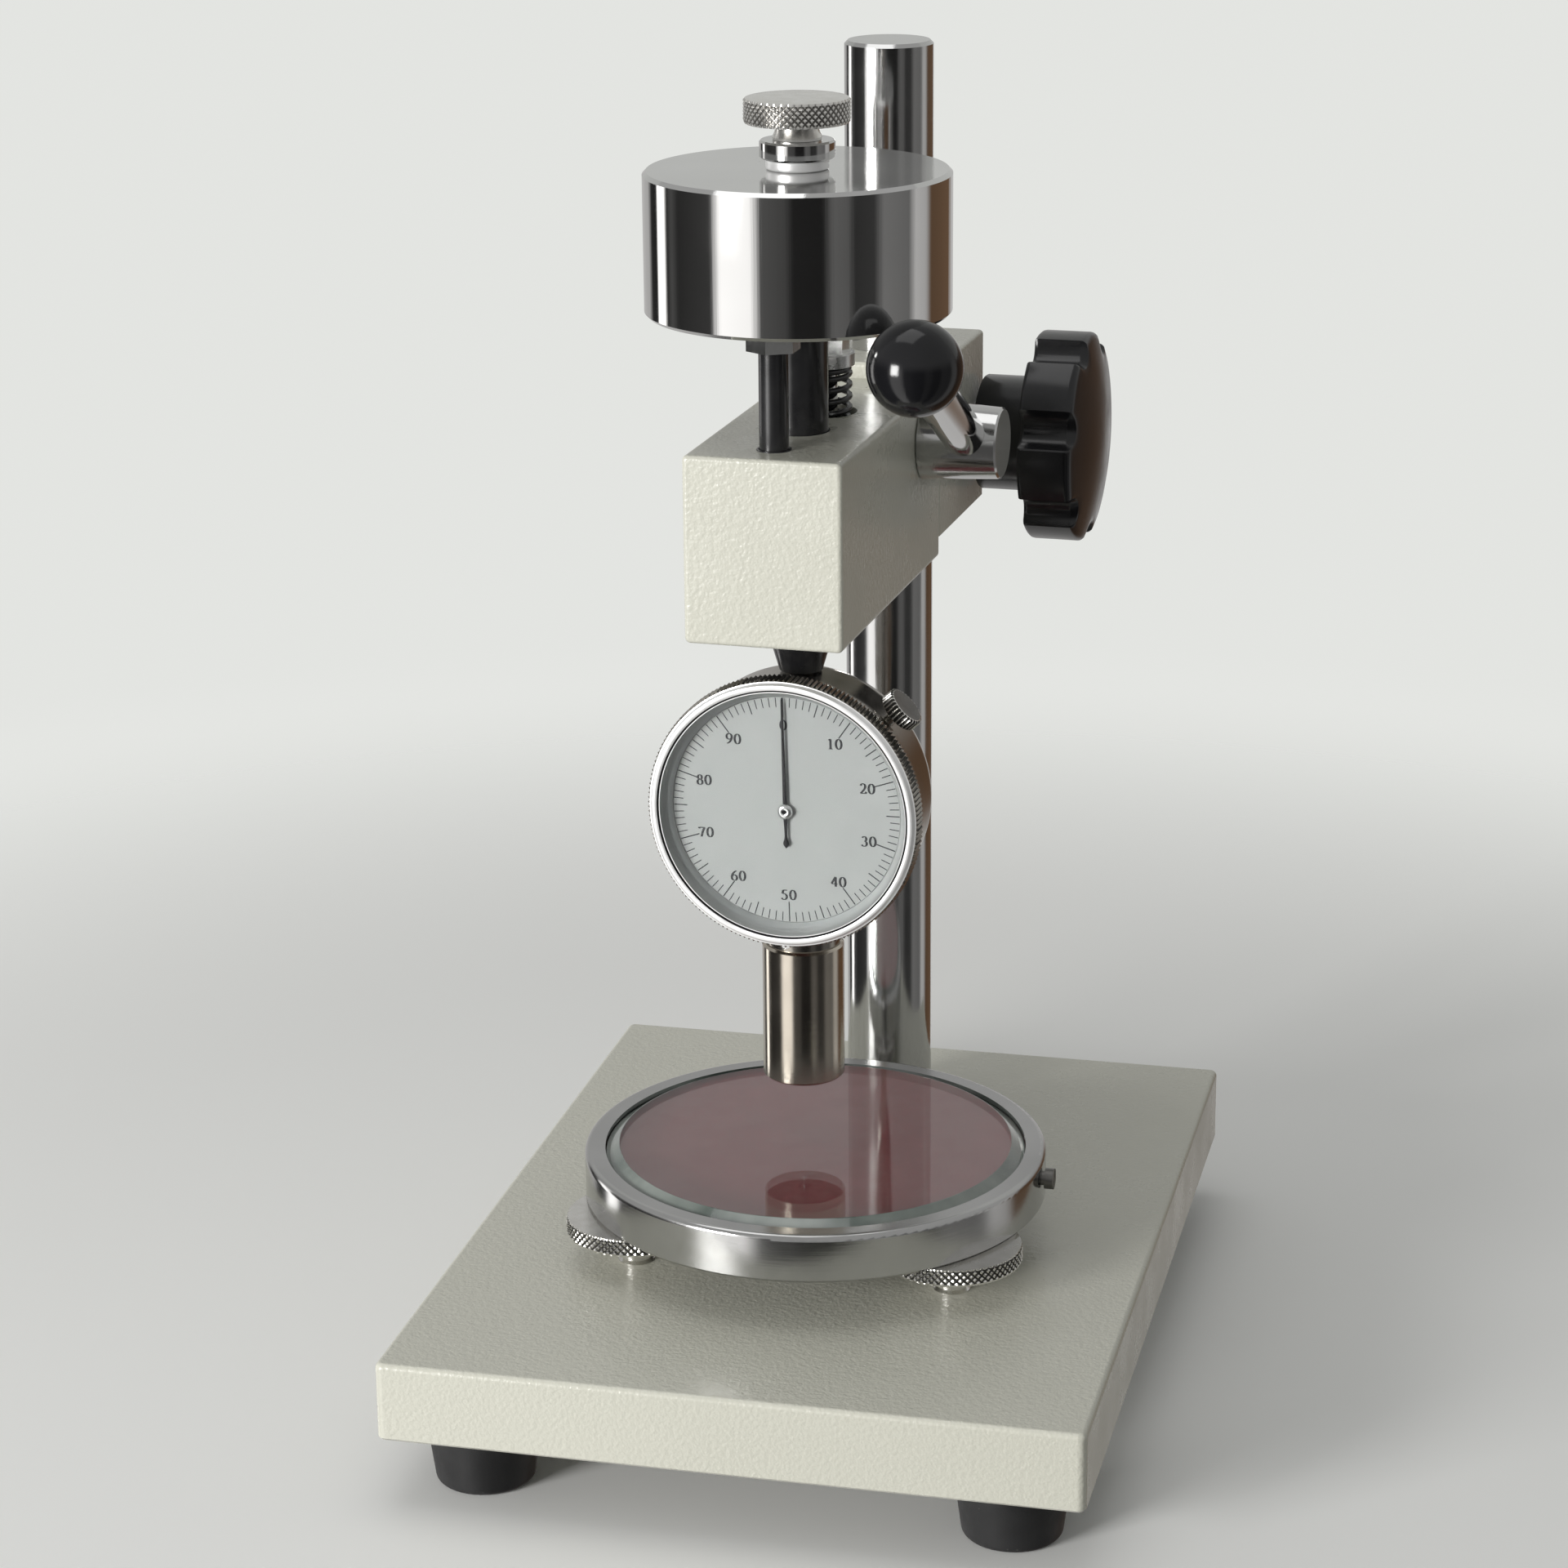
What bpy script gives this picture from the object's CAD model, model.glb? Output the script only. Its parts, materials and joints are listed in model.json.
import json
import math

import bmesh
import bpy
from mathutils import Matrix, Vector


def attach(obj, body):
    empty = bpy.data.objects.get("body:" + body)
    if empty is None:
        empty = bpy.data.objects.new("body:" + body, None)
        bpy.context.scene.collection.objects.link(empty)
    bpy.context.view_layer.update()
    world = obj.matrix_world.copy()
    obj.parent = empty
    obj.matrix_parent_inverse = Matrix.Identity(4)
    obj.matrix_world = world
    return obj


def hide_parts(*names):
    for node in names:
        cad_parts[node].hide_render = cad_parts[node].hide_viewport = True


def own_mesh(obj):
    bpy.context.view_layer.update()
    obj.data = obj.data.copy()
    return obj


bl_info = {
    "name": "Hardness tester dressing",
    "version": (1, 0, 0),
    "blender": (4, 5, 0),
    "location": "3D view > Sidebar > Tester",
    "description": "Finishes, knurled screws, dial, spring and stage for the hardness tester",
    "category": "Object",
}

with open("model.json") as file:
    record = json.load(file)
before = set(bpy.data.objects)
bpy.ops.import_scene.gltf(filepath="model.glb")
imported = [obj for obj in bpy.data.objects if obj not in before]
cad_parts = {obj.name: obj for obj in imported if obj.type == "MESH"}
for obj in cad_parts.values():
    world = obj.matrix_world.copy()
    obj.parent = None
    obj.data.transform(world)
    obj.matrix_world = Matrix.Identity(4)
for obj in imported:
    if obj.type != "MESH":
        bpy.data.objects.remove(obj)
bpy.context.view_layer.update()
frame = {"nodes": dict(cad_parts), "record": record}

MM = 0.001
VIEW_AZIMUTH = 13.56  # degrees the camera stands to the right of the tester's front

# Millimetres.  Heights over the arm's underside are those of the spindle's own frame.
ARM_UNDER = 174.1  # over the bench
ARM_TOP = 40.1  # over the arm's underside
REACH = 74.8  # spindle's axis ahead of the column's
ROD_OFFSET = 19.0  # guide rod before the spindle, spring rod behind it
GAUGE_DROP = 40.4  # dial's centre under the arm's underside
DIAL_FACE = 12.35  # dial card ahead of the spindle's axis

# How finely knurls and ribs are cut.
KNURL_STEPS = 8  # points across a diamond
RIB_STEPS = 6  # points across a rib
GROOVE_SHARE = 0.62  # a knurl pressed deeper than this share of its depth takes the groove's finish


def shift(x, y, z):
    """A move given in millimetres."""
    return Matrix.Translation((x * MM, y * MM, z * MM))


def turn_about(axis, degrees):
    """A turn about one axis."""
    return Matrix.Rotation(math.radians(degrees), 4, axis)


ARM = shift(0, 64.5, ARM_UNDER) @ turn_about("Z", -2.7)
SPINDLE = ARM @ shift(0, -REACH, 0)
DIAL = SPINDLE @ shift(0, 0, -GAUGE_DROP) @ turn_about("X", 90)
LOCK = SPINDLE @ shift(0, -4.2, -GAUGE_DROP) @ turn_about("Y", 47)
CLAMP = ARM @ shift(17.1, 15.6, 21) @ turn_about("Y", 90)
TABLE = shift(0, -14.8, 0)
SPRING = SPINDLE @ shift(0, ROD_OFFSET, 0)
GUIDE = SPINDLE @ shift(0, -ROD_OFFSET, 0)


# ---------------------------------------------------------------- what a user may change

def length_setting(name, description, default, precision=5):
    """A length that the panel shows in the scene's unit."""
    return bpy.props.FloatProperty(
        name=name, description=description, default=default, unit="LENGTH", precision=precision)


def count_setting(name, description, default, least):
    """A whole number with a lower bound."""
    return bpy.props.IntProperty(name=name, description=description, default=default, min=least)


def colour_setting(name, description, default):
    """A colour picked in the panel."""
    return bpy.props.FloatVectorProperty(
        name=name, description=description, default=default, subtype="COLOR", min=0, max=1)


class TesterSizes(bpy.types.PropertyGroup):
    """Sizes of the dressed pieces."""

    bezel_ribs: count_setting("Bezel ribs", "Straight ribs round the bezel", 180, 24)
    bezel_rib_depth: length_setting("Bezel rib depth", "How deep the bezel's ribs are cut", 0.00055)
    wheel_knurl: length_setting("Wheel knurl", "Pitch of the diamonds on the levelling wheels", 0.0016)
    head_knurl: length_setting("Head knurl", "Pitch of the diamonds on the top screw's head", 0.0015)
    knurl_depth: length_setting("Knurl depth", "How deep the diamonds are pressed", 0.00042)
    lock_ribs: count_setting("Lock screw ribs", "Coarse ribs round the bezel's lock screw", 30, 8)
    needle_length: length_setting("Needle length", "From the dial's centre to the needle's tip", 0.0253, 4)
    scale_turn: bpy.props.FloatProperty(
        name="Scale turn", description="How far the printed scale is set round with the bezel",
        default=math.radians(1.4), subtype="ANGLE")
    spring_turns: count_setting("Spring turns", "Turns of the return spring", 19, 6)
    knob_lobes: count_setting("Knob lobes", "Lobes of the clamp knob", 7, 3)


class TesterFinishes(bpy.types.PropertyGroup):
    """Colours of the main finishes."""

    enamel: colour_setting("Enamel", "Ivory enamel of the base and the arm", (0.605, 0.60, 0.525))
    plate: colour_setting("Chrome", "Polished chrome plate", (0.60, 0.60, 0.595))
    nickel: colour_setting("Satin nickel", "Satin nickel of the presser foot", (0.58, 0.53, 0.455))
    backing: colour_setting("Backing", "Sheet under the specimen glass", (0.15, 0.016, 0.024))
    dial: colour_setting("Dial", "Silver-grey dial face", (0.225, 0.233, 0.229))
    phenolic: colour_setting("Phenolic", "Black moulding of the knob and the ball", (0.006, 0.006, 0.007))


# ---------------------------------------------------------------- effects shared by the finishes

def add_node(tree, kind, inputs=(), **settings):
    """A shader node with its settings and its sockets' plain values or links."""
    made = tree.nodes.new("ShaderNode" + kind)
    for name, value in settings.items():
        setattr(made, name, value)
    for name, value in dict(inputs).items():
        if isinstance(value, bpy.types.NodeSocket):
            tree.links.new(value, made.inputs[name])
        else:
            made.inputs[name].default_value = value
    return made


def math_of(tree, operation, *values):
    """What a maths node gives for plain values or links."""
    return add_node(tree, "Math", dict(enumerate(values)), operation=operation).outputs[0]


def vector_of(tree, operation, *values):
    """What a vector maths node gives: a vector, or a value for a length or a product."""
    made = add_node(tree, "VectorMath", dict(enumerate(values)), operation=operation)
    return made.outputs["Value" if operation in ("LENGTH", "DOT_PRODUCT") else "Vector"]


def mix_of(tree, share, first, second):
    """Two colours mixed by a share."""
    return add_node(tree, "Mix", {0: share, 6: first, 7: second}, data_type="RGBA").outputs[2]


def span_of(tree, value, low, high, to_low=0.0, to_high=1.0, kind="LINEAR"):
    """A value carried from one range to another."""
    return add_node(tree, "MapRange", {
        "Value": value, "From Min": low, "From Max": high, "To Min": to_low, "To Max": to_high},
        interpolation_type=kind).outputs["Result"]


def noise_of(tree, place, scale, detail, **inputs):
    """A noise's value at a place."""
    return add_node(tree, "TexNoise", {
        "Vector": place, "Scale": scale, "Detail": detail, **inputs}).outputs["Fac"]


def new_effect(name, inputs, output, kind):
    """An empty node group with named inputs and one output: its tree, what goes in and where it comes out."""
    tree = bpy.data.node_groups.new(name, "ShaderNodeTree")
    for label, socket_kind, value in inputs:
        tree.interface.new_socket(label, in_out="INPUT", socket_type=socket_kind).default_value = value
    tree.interface.new_socket(output, in_out="OUTPUT", socket_type=kind)
    inside = tree.nodes.new("NodeGroupInput").outputs
    outside = tree.nodes.new("NodeGroupOutput").inputs[0]
    return tree, inside, outside


def new_material(name):
    """An empty material: itself, its tree and the socket of its output."""
    material = bpy.data.materials.new(name)
    material.use_nodes = True
    tree = material.node_tree
    return material, tree, tree.nodes["Material Output"].inputs["Surface"]


def place_of(tree):
    """The point on the surface, in the piece's own place."""
    return add_node(tree, "TexCoord").outputs["Object"]


def mottle_effect():
    """Two close colours that drift into each other."""
    tree, inside, outside = new_effect("Mottle", (
        ("First", "NodeSocketColor", (1, 1, 1, 1)), ("Second", "NodeSocketColor", (0, 0, 0, 1)),
        ("Scale", "NodeSocketFloat", 60.0), ("Spread", "NodeSocketFloat", 0.2)), "Colour", "NodeSocketColor")
    noise = noise_of(tree, place_of(tree), inside["Scale"], 3.0)
    low = math_of(tree, "SUBTRACT", 0.5, inside["Spread"])
    high = math_of(tree, "ADD", 0.5, inside["Spread"])
    share = span_of(tree, noise, low, high)
    tree.links.new(mix_of(tree, share, inside["First"], inside["Second"]), outside)
    return tree


def peel_effect():
    """The rounded dimples of sprayed enamel, or the skin of a moulding."""
    tree, inside, outside = new_effect("Peel", (
        ("Scale", "NodeSocketFloat", 700.0), ("Fine", "NodeSocketFloat", 0.25)), "Height", "NodeSocketFloat")
    place = place_of(tree)
    broad = noise_of(tree, place, inside["Scale"], 1.0)
    tight = noise_of(tree, place, math_of(tree, "MULTIPLY", inside["Scale"], 2.6), 2.0)
    mixed = add_node(tree, "Mix", {0: inside["Fine"], 2: broad, 3: tight}, data_type="FLOAT")
    tree.links.new(mixed.outputs[0], outside)
    return tree


def grain_effect():
    """Fine lines left by drawing, grinding or turning, drawn out where Stretch is small."""
    tree, inside, outside = new_effect("Grain", (
        ("Scale", "NodeSocketFloat", 3000.0), ("Stretch", "NodeSocketVector", (1, 1, 0.02))),
        "Height", "NodeSocketFloat")
    drawn = vector_of(tree, "MULTIPLY", place_of(tree), inside["Stretch"])
    tree.links.new(noise_of(tree, drawn, inside["Scale"], 4.0, Roughness=0.65), outside)
    return tree


def rings_effect():
    """Turning marks round the piece's own Z axis."""
    tree, inside, outside = new_effect("Rings", (
        ("Scale", "NodeSocketFloat", 4000.0), ("Centre", "NodeSocketVector", (0, 0, 0))),
        "Height", "NodeSocketFloat")
    moved = vector_of(tree, "SUBTRACT", place_of(tree), inside["Centre"])
    radius = vector_of(tree, "LENGTH", vector_of(tree, "MULTIPLY", moved, (1, 1, 0)))
    noise = add_node(tree, "TexNoise", {"W": radius, "Scale": inside["Scale"], "Detail": 3.0},
                     noise_dimensions="1D")
    tree.links.new(noise.outputs["Fac"], outside)
    return tree


def smudge_effect():
    """A value that wanders between Low and High, for handled or unevenly polished surfaces."""
    tree, inside, outside = new_effect("Smudge", (
        ("Scale", "NodeSocketFloat", 40.0), ("Low", "NodeSocketFloat", 0.1),
        ("High", "NodeSocketFloat", 0.3)), "Value", "NodeSocketFloat")
    noise = noise_of(tree, place_of(tree), inside["Scale"], 5.0, Roughness=0.6)
    drift = span_of(tree, noise, 0.32, 0.68, inside["Low"], inside["High"], "SMOOTHSTEP")
    tree.links.new(drift, outside)
    return tree


def specks_effect():
    """Scattered small spots of dust, chips or pores: one on a spot and nothing elsewhere."""
    tree, inside, outside = new_effect("Specks", (
        ("Scale", "NodeSocketFloat", 220.0), ("Size", "NodeSocketFloat", 0.12)), "Mask", "NodeSocketFloat")
    cells = add_node(tree, "TexVoronoi", {"Vector": place_of(tree), "Scale": inside["Scale"]})
    rare = add_node(tree, "SeparateColor", {"Color": cells.outputs["Color"]})
    few = math_of(tree, "GREATER_THAN", rare.outputs["Red"], 0.86)
    size = math_of(tree, "MULTIPLY", inside["Size"], rare.outputs["Green"])
    spot = math_of(tree, "LESS_THAN", cells.outputs["Distance"], size)
    tree.links.new(math_of(tree, "MULTIPLY", few, spot), outside)
    return tree


def caps_effect():
    """One on the flat ends that face along Axis and nothing elsewhere."""
    tree, inside, outside = new_effect(
        "Caps", (("Axis", "NodeSocketVector", (1, 0, 0)),), "Mask", "NodeSocketFloat")
    normal = add_node(tree, "TexCoord").outputs["Normal"]
    along = math_of(tree, "ABSOLUTE", vector_of(tree, "DOT_PRODUCT", normal, inside["Axis"]))
    tree.links.new(math_of(tree, "GREATER_THAN", along, 0.97), outside)
    return tree


EFFECTS = {
    "Caps": caps_effect, "Mottle": mottle_effect, "Peel": peel_effect, "Grain": grain_effect,
    "Rings": rings_effect, "Smudge": smudge_effect, "Specks": specks_effect,
}


def use_effect(tree, name, **values):
    """Place a shared effect in a material with that material's values."""
    group = bpy.data.node_groups.get(name) or EFFECTS[name]()
    placed = tree.nodes.new("ShaderNodeGroup")
    placed.node_tree = group
    for label, value in values.items():
        placed.inputs[label].default_value = value
    return placed.outputs[0]


def shade(base, factor=1.0):
    """A colour made darker or lighter, with its alpha."""
    return (*(min(1.0, channel * factor) for channel in base[:3]), 1.0)


def make_finish(name, first, second, rough, metallic=0.0, mottle=60.0, smudge=40.0, reliefs=(), specks=None,
                caps=None, **constants):
    """A material: mottled colour, wandering roughness, layers of relief, and the shader's own constants.

    A relief is (effect, its values, depth in metres), specks is (scale, size, colour) and caps is
    (axis, colour).
    """
    material, tree, _ = new_material(name)
    shader = tree.nodes["Principled BSDF"]
    base = use_effect(tree, "Mottle", First=shade(first), Second=shade(second), Scale=mottle)
    if specks:
        spots = use_effect(tree, "Specks", Scale=specks[0], Size=specks[1])
        base = mix_of(tree, spots, base, shade(specks[2]))
    if caps:
        ends = use_effect(tree, "Caps", Axis=caps[0])
        base = mix_of(tree, ends, base, shade(caps[1]))
        tree.links.new(math_of(tree, "SUBTRACT", 1.0, ends), shader.inputs["Metallic"])
    tree.links.new(base, shader.inputs["Base Color"])
    worn = use_effect(tree, "Smudge", Scale=smudge, Low=rough[0], High=rough[1])
    tree.links.new(worn, shader.inputs["Roughness"])
    shader.inputs["Metallic"].default_value = metallic
    normal = None
    for effect, values, depth in reliefs:
        height = use_effect(tree, effect, **values)
        bump = add_node(tree, "Bump", {"Height": height, "Strength": 1.0, "Distance": depth})
        if normal:
            tree.links.new(normal, bump.inputs["Normal"])
        normal = bump.outputs["Normal"]
    if normal:
        tree.links.new(normal, shader.inputs["Normal"])
    for label, value in constants.items():
        shader.inputs[label.replace("_", " ")].default_value = value
    return material


def clear_glass(name, tint, rough, ior):
    """Glass that lets the lamps' light through to what lies under it."""
    material, tree, surface = new_material(name)
    shader = tree.nodes["Principled BSDF"]
    shader.inputs["Transmission Weight"].default_value = 1.0
    shader.inputs["IOR"].default_value = ior
    body = use_effect(tree, "Mottle", First=shade(tint), Second=shade(tint, 0.985), Scale=25.0)
    tree.links.new(body, shader.inputs["Base Color"])
    haze = use_effect(tree, "Smudge", Scale=30.0, Low=rough[0], High=rough[1])
    tree.links.new(haze, shader.inputs["Roughness"])
    through = add_node(tree, "BsdfTransparent", {"Color": shade(tint)})
    path = add_node(tree, "LightPath")
    either = add_node(tree, "MixShader", {
        0: path.outputs["Is Shadow Ray"], 1: shader.outputs["BSDF"], 2: through.outputs["BSDF"]})
    tree.links.new(either.outputs["Shader"], surface)
    return material


# The reliefs that the finishes are built of, each with its depth in metres.

def vertical_grain(scale, depth):
    """Fine lines that run up and down."""
    return ("Grain", {"Scale": scale, "Stretch": (1, 1, 0.012)}, depth)


def level_grain(scale, depth):
    """Fine lines that run round."""
    return ("Grain", {"Scale": scale, "Stretch": (0.02, 0.02, 1)}, depth)


def peel(scale, fine, depth):
    """Rounded dimples, tighter where fine is large."""
    return ("Peel", {"Scale": scale, "Fine": fine}, depth)


def turning(scale, depth, **centre):
    """Rings left by a lathe."""
    return ("Rings", {"Scale": scale, **centre}, depth)


def make_finishes():
    """Every finish of the tester, by name."""
    chosen = bpy.context.scene.tester_finishes
    plate = chosen.plate
    skin = peel(2400.0, 0.5, 0.00001)
    return {
        "ivory_paint": make_finish(
            "Ivory enamel", chosen.enamel, shade(chosen.enamel, 0.98), (0.24, 0.36), mottle=18.0,
            smudge=55.0, reliefs=(peel(1000.0, 0.15, 0.00014),), specks=(110.0, 0.05, (0.34, 0.33, 0.28)),
            Coat_Weight=0.2, Coat_Roughness=0.14),
        "black_rubber": make_finish(
            "Black rubber", (0.009, 0.009, 0.0095), (0.016, 0.016, 0.0165), (0.45, 0.68), mottle=120.0,
            reliefs=(peel(1800.0, 0.6, 0.00004),),
            specks=(500.0, 0.14, (0.05, 0.05, 0.048))),
        "chrome": make_finish(
            "Chrome plate", plate, shade(plate, 0.96), (0.035, 0.085), 1.0, mottle=30.0,
            smudge=24.0, reliefs=(level_grain(2600.0, 0.0000012),),
            specks=(140.0, 0.06, (0.42, 0.41, 0.40))),
        "shaft_chrome": make_finish(
            "Shaft chrome", plate, shade(plate, 0.92), (0.05, 0.12), 1.0, mottle=60.0,
            smudge=80.0, reliefs=(skin,), caps=((1, 0, 0), (0.30, 0.295, 0.28))),
        "column_chrome": make_finish(
            "Column chrome", shade(plate, 0.98), shade(plate, 0.9), (0.07, 0.16), 1.0, mottle=40.0,
            smudge=30.0, reliefs=(vertical_grain(2200.0, 0.000012),)),
        "weight_chrome": make_finish(
            "Weight chrome", shade(plate, 1.16), shade(plate, 1.04), (0.025, 0.075), 1.0, mottle=26.0,
            smudge=34.0, reliefs=(
                vertical_grain(1300.0, 0.0000075),
                turning(5200.0, 0.0000015, Centre=SPINDLE.translation)),
            specks=(150.0, 0.09, (0.45, 0.44, 0.42))),
        "table_chrome": make_finish(
            "Table chrome", shade(plate, 0.88), shade(plate, 0.74), (0.13, 0.21), 1.0, mottle=34.0,
            smudge=44.0, reliefs=(level_grain(2400.0, 0.000006),),
            specks=(240.0, 0.10, (0.30, 0.295, 0.28))),
        "bright_zinc": make_finish(
            "Bright zinc", (0.80, 0.81, 0.80), (0.70, 0.71, 0.70), (0.16, 0.26), 1.0, mottle=260.0,
            smudge=180.0, reliefs=(peel(3000.0, 0.4, 0.000006),)),
        "dull_zinc": make_finish(
            "Dull zinc", (0.20, 0.195, 0.185), (0.15, 0.147, 0.14), (0.26, 0.42), 1.0, mottle=260.0,
            smudge=180.0, reliefs=(peel(3000.0, 0.4, 0.000008),)),
        "zinc_steel": make_finish(
            "Zinc plate", (0.60, 0.605, 0.60), (0.50, 0.50, 0.49), (0.24, 0.42), 1.0, mottle=260.0,
            smudge=180.0, reliefs=(peel(3000.0, 0.4, 0.000008),)),
        "knurled_steel": make_finish(
            "Knurled nickel", (0.80, 0.79, 0.765), (0.70, 0.685, 0.65), (0.16, 0.28), 1.0, mottle=300.0,
            smudge=160.0, reliefs=(turning(4200.0, 0.000010), skin)),
        "black_steel": make_finish(
            "Black oxide", (0.010, 0.010, 0.011), (0.020, 0.020, 0.021), (0.16, 0.27), 0.0,
            mottle=120.0, smudge=90.0, reliefs=(level_grain(3800.0, 0.000002),)),
        "bronze": make_finish(
            "Bronze", (0.58, 0.41, 0.22), (0.44, 0.30, 0.15), (0.28, 0.45), 1.0, mottle=200.0,
            reliefs=(level_grain(3600.0, 0.000008),)),
        "black_plastic": make_finish(
            "Black phenolic", chosen.phenolic, shade(chosen.phenolic, 1.7), (0.15, 0.26),
            mottle=90.0, smudge=70.0, reliefs=(skin,), specks=(260.0, 0.06, (0.10, 0.10, 0.10))),
        "rose_backing": make_finish(
            "Rose backing", chosen.backing, shade(chosen.backing, 1.16), (0.4, 0.6), mottle=45.0,
            reliefs=(peel(900.0, 0.5, 0.00001),)),
        "case_metal": make_finish(
            "Satin plate", (0.37, 0.35, 0.315), (0.32, 0.302, 0.27), (0.15, 0.25), 1.0, mottle=120.0,
            smudge=60.0, reliefs=(peel(2600.0, 0.5, 0.000004),)),
        "bezel_rim": make_finish(
            "Bezel rim", (0.90, 0.90, 0.90), (0.85, 0.85, 0.85), (0.28, 0.40), 0.6, mottle=140.0,
            smudge=90.0, reliefs=(turning(5200.0, 0.000006),)),
        "bezel_bore": make_finish(
            "Bezel bore", (0.36, 0.375, 0.37), (0.32, 0.335, 0.33), (0.3, 0.4), 0.25, mottle=140.0,
            reliefs=(skin,)),
        "satin_nickel": make_finish(
            "Satin nickel", chosen.nickel, shade(chosen.nickel, 0.84), (0.11, 0.18), 1.0,
            mottle=80.0, smudge=60.0, reliefs=(level_grain(5200.0, 0.000012),)),
        "spring_steel": make_finish(
            "Spring steel", (0.50, 0.50, 0.50), (0.42, 0.42, 0.41), (0.22, 0.36), 1.0, mottle=200.0,
            reliefs=(skin,)),
        "dial_face": make_finish(
            "Dial silver", chosen.dial, shade(chosen.dial, 0.975), (0.5, 0.62),
            mottle=70.0, smudge=120.0, reliefs=(peel(5200.0, 0.5, 0.000006),), Specular_IOR_Level=0.2),
        "needle_black": make_finish(
            "Needle black", (0.010, 0.010, 0.011), (0.018, 0.018, 0.019), (0.25, 0.4), mottle=400.0,
            reliefs=(skin,), Specular_IOR_Level=0.15),
        "print_grey": make_finish(
            "Printed grey", (0.016, 0.017, 0.019), (0.028, 0.029, 0.031), (0.5, 0.65), mottle=900.0,
            reliefs=(skin,), Specular_IOR_Level=0.1),
        "groove_dark": make_finish(
            "Groove shade", (0.16, 0.155, 0.145), (0.24, 0.23, 0.215), (0.3, 0.5), 1.0, mottle=500.0,
            reliefs=(skin,)),
        "groove_black": make_finish(
            "Deep groove", (0.030, 0.029, 0.026), (0.055, 0.053, 0.048), (0.3, 0.5), 0.6, mottle=500.0,
            reliefs=(skin,)),
        "ball_black": make_finish(
            "Polished ball", shade(chosen.phenolic, 0.8), shade(chosen.phenolic, 1.4), (0.07, 0.13),
            mottle=90.0, smudge=70.0, reliefs=(skin,), Specular_IOR_Level=0.4),
        "ground_glass": make_finish(
            "Ground glass", (0.07, 0.10, 0.085), (0.34, 0.38, 0.35), (0.08, 0.18), mottle=60.0,
            smudge=20.0, reliefs=(skin,), Transmission_Weight=0.35, IOR=1.5, Coat_Weight=1.0,
            Coat_Roughness=0.03),
        "table_glass": clear_glass("Plate glass", (0.90, 0.965, 0.935), (0.0, 0.012), 1.52),
        "dial_glass": clear_glass("Dial crystal", (0.985, 0.99, 0.99), (0.0, 0.01), 1.2),
    }


FINISH = {}


def finish(name):
    """A finish by name; they are all made when the first is asked for."""
    if not FINISH:
        FINISH.update(make_finishes())
    return FINISH[name]


# ---------------------------------------------------------------- mesh helpers

def add_object(name, data):
    """A new object in the scene."""
    made = bpy.data.objects.new(name, data)
    bpy.context.scene.collection.objects.link(made)
    return made


def mesh_of(shell, name):
    """The mesh made of a finished shell."""
    mesh = bpy.data.meshes.new(name)
    shell.to_mesh(mesh)
    shell.free()
    return mesh


def closed_mesh(shell, name, weld=None):
    """The mesh made of a closed shell, with its faces turned outward and its points welded."""
    if weld:
        bmesh.ops.remove_doubles(shell, verts=shell.verts, dist=weld)
    bmesh.ops.recalc_face_normals(shell, faces=shell.faces)
    return mesh_of(shell, name)


def on_circle(radius, turn, height):
    """A point at a radius, a turn about Z and a height."""
    return (radius * math.cos(turn), radius * math.sin(turn), height)


def grid(rings, rows, closed):
    """The corners of each face between neighbouring rings, with its ring's and its row's number."""
    for step in range(len(rings) if closed else len(rings) - 1):
        here, there = rings[step], rings[(step + 1) % len(rings)]
        for row in range(rows):
            after = (row + 1) % len(here)
            yield step, row, (here[row], there[row], there[after], here[after])


def set_down(mesh, place, slot, *finishes, sharp=32):
    """A smooth-shaded object for a mesh in millimetres, in its place and with its finishes."""
    mesh.transform(Matrix.Scale(MM, 4))
    mesh.polygons.foreach_set("use_smooth", [True] * len(mesh.polygons))
    mesh.set_sharp_from_angle(angle=math.radians(sharp))
    for label in finishes:
        mesh.materials.append(finish(label))
    piece = add_object(mesh.name, mesh)
    piece.matrix_world = place
    bpy.context.view_layer.update()
    return piece


def turned_mesh(name, outline, columns, cut=None, parts=None, groove=None):
    """A closed outline of (radius, height) points turned about Z, in millimetres.

    cut(turn, height) sinks the points that carry a third value, by that share of it.
    parts gives each row of faces the number of its finish.
    groove is (finish number, depth beyond which a cut face takes it).
    """
    shell = bmesh.new()
    rings = []
    for step in range(columns):
        turn = math.tau * step / columns
        ring = []
        for radius, height, *share in outline:
            sunk = share[0] * cut(turn, height) if share else 0.0
            ring.append(shell.verts.new(on_circle(radius - sunk, turn, height)))
        rings.append(ring)
    for step, row, corners in grid(rings, len(outline), True):
        start, end = outline[row], outline[(row + 1) % len(outline)]
        if start[0] < 1e-6 and end[0] < 1e-6:
            continue
        face = shell.faces.new(corners)
        face.material_index = parts[row] if parts else 0
        if groove and len(start) == 3 == len(end):
            angle = math.tau * (step + 0.5) / columns
            if cut(angle, (start[1] + end[1]) / 2) > groove[1]:
                face.material_index = groove[0]
    return closed_mesh(shell, name, weld=1e-5)


def ribbed(count, depth):
    """Straight ribs: how deep they are cut at a turn."""
    return lambda turn, height: depth * abs(2 * ((count * turn / math.tau) % 1) - 1)


def diamonds(radius, pitch, depth):
    """Diamond knurl: the number of diamonds round, and how deep they are pressed at a turn and height."""
    count = round(math.tau * radius / pitch)

    def pressed(turn, height):
        round_share = count * turn / math.tau
        rise = height / pitch
        return depth * max(abs(2 * ((round_share + way * rise) % 1) - 1) for way in (-1, 1))
    return count, pressed


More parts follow.
